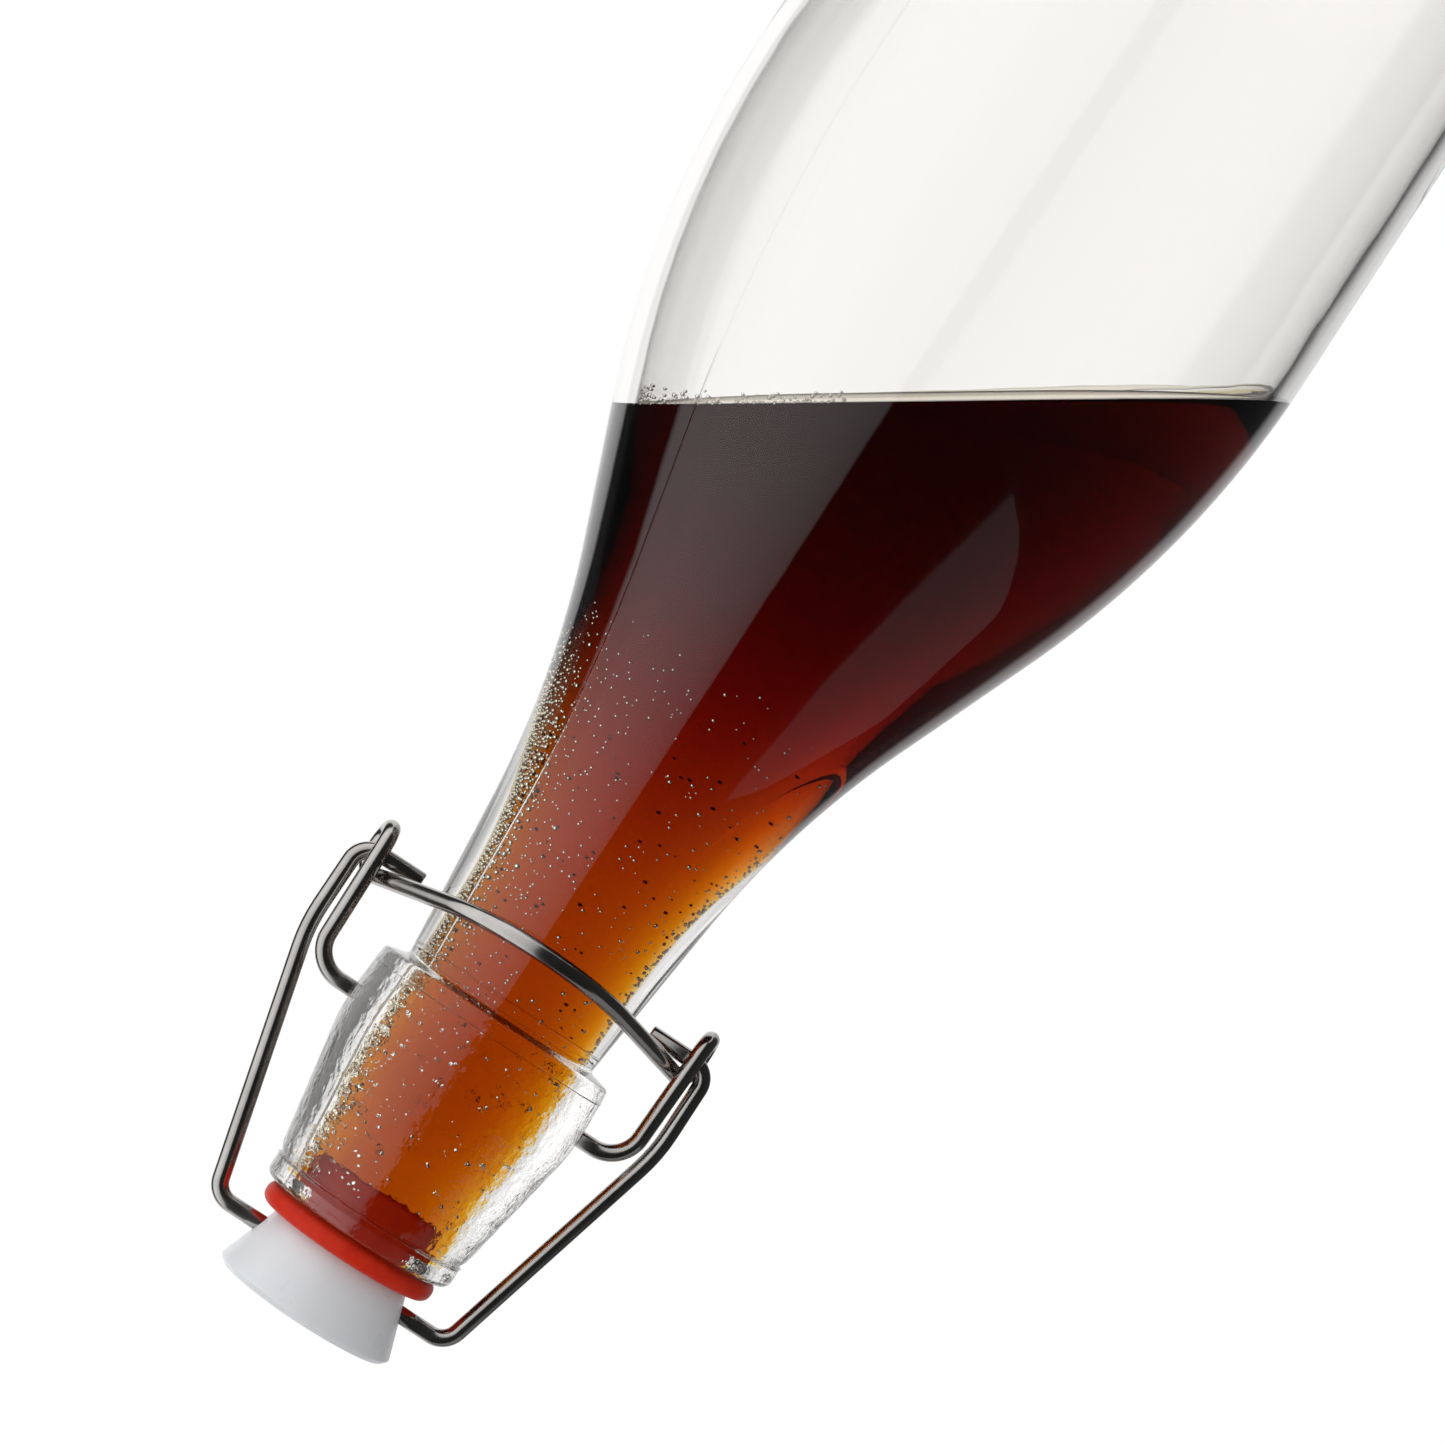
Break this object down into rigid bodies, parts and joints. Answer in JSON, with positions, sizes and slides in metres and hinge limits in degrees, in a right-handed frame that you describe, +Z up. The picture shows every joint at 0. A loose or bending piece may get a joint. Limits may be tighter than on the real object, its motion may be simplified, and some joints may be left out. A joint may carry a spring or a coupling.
{
  "type": "swing-top growler",
  "caption": "Tall round glass bottle with a sloped shoulder and long neck, closed by a sealed stopper on a wire bail and over-centre lever.",
  "frame": {"origin": "centre of the ring that the bottle stands on", "axes": "+Z up along the bottle's axis, X along the lever's pivots, the lever's bow on -Y"},
  "size_m": [0.089, 0.089, 0.3178],
  "materials": {
    "bottle_glass": "clear, fire-polished, slightly wavy in the neck",
    "closure_wire": "bright drawn wire",
    "stopper_plastic": "smooth white moulding",
    "gasket_rubber": "satin red",
    "drink": "clear amber drink, seen only in the visual model",
    "foam": "fine bubbles, seen only in the visual model"
  },
  "bodies": {
    "bottle": {"bottle": "bottle_glass"},
    "lever": {"lever_wire": "closure_wire"},
    "bail": {"bail_wire": "closure_wire"},
    "stopper": {"stopper": "stopper_plastic", "gasket": "gasket_rubber"}
  },
  "joints": [
    {"name": "lever_turn", "type": "hinge", "parent": "bottle", "child": "lever", "pos_m": [0, 0, 0.2775], "axis": [1, 0, 0], "range_deg": [-90, 0]},
    {"name": "bail_tilt", "type": "hinge", "parent": "lever", "child": "bail", "pos_m": [0, 0.0008, 0.2604], "axis": [1, 0, 0], "range_deg": [0, 63.5]},
    {"name": "stopper_level", "type": "hinge", "parent": "bail", "child": "stopper", "pos_m": [0, 0, 0.3101], "axis": [1, 0, 0], "range_deg": [0, 27.5]}
  ],
  "couplings": [
    {"joint": "bail_tilt", "follows": "lever_turn", "ratio": -0.7},
    {"joint": "stopper_level", "follows": "lever_turn", "ratio": -0.3}
  ]
}
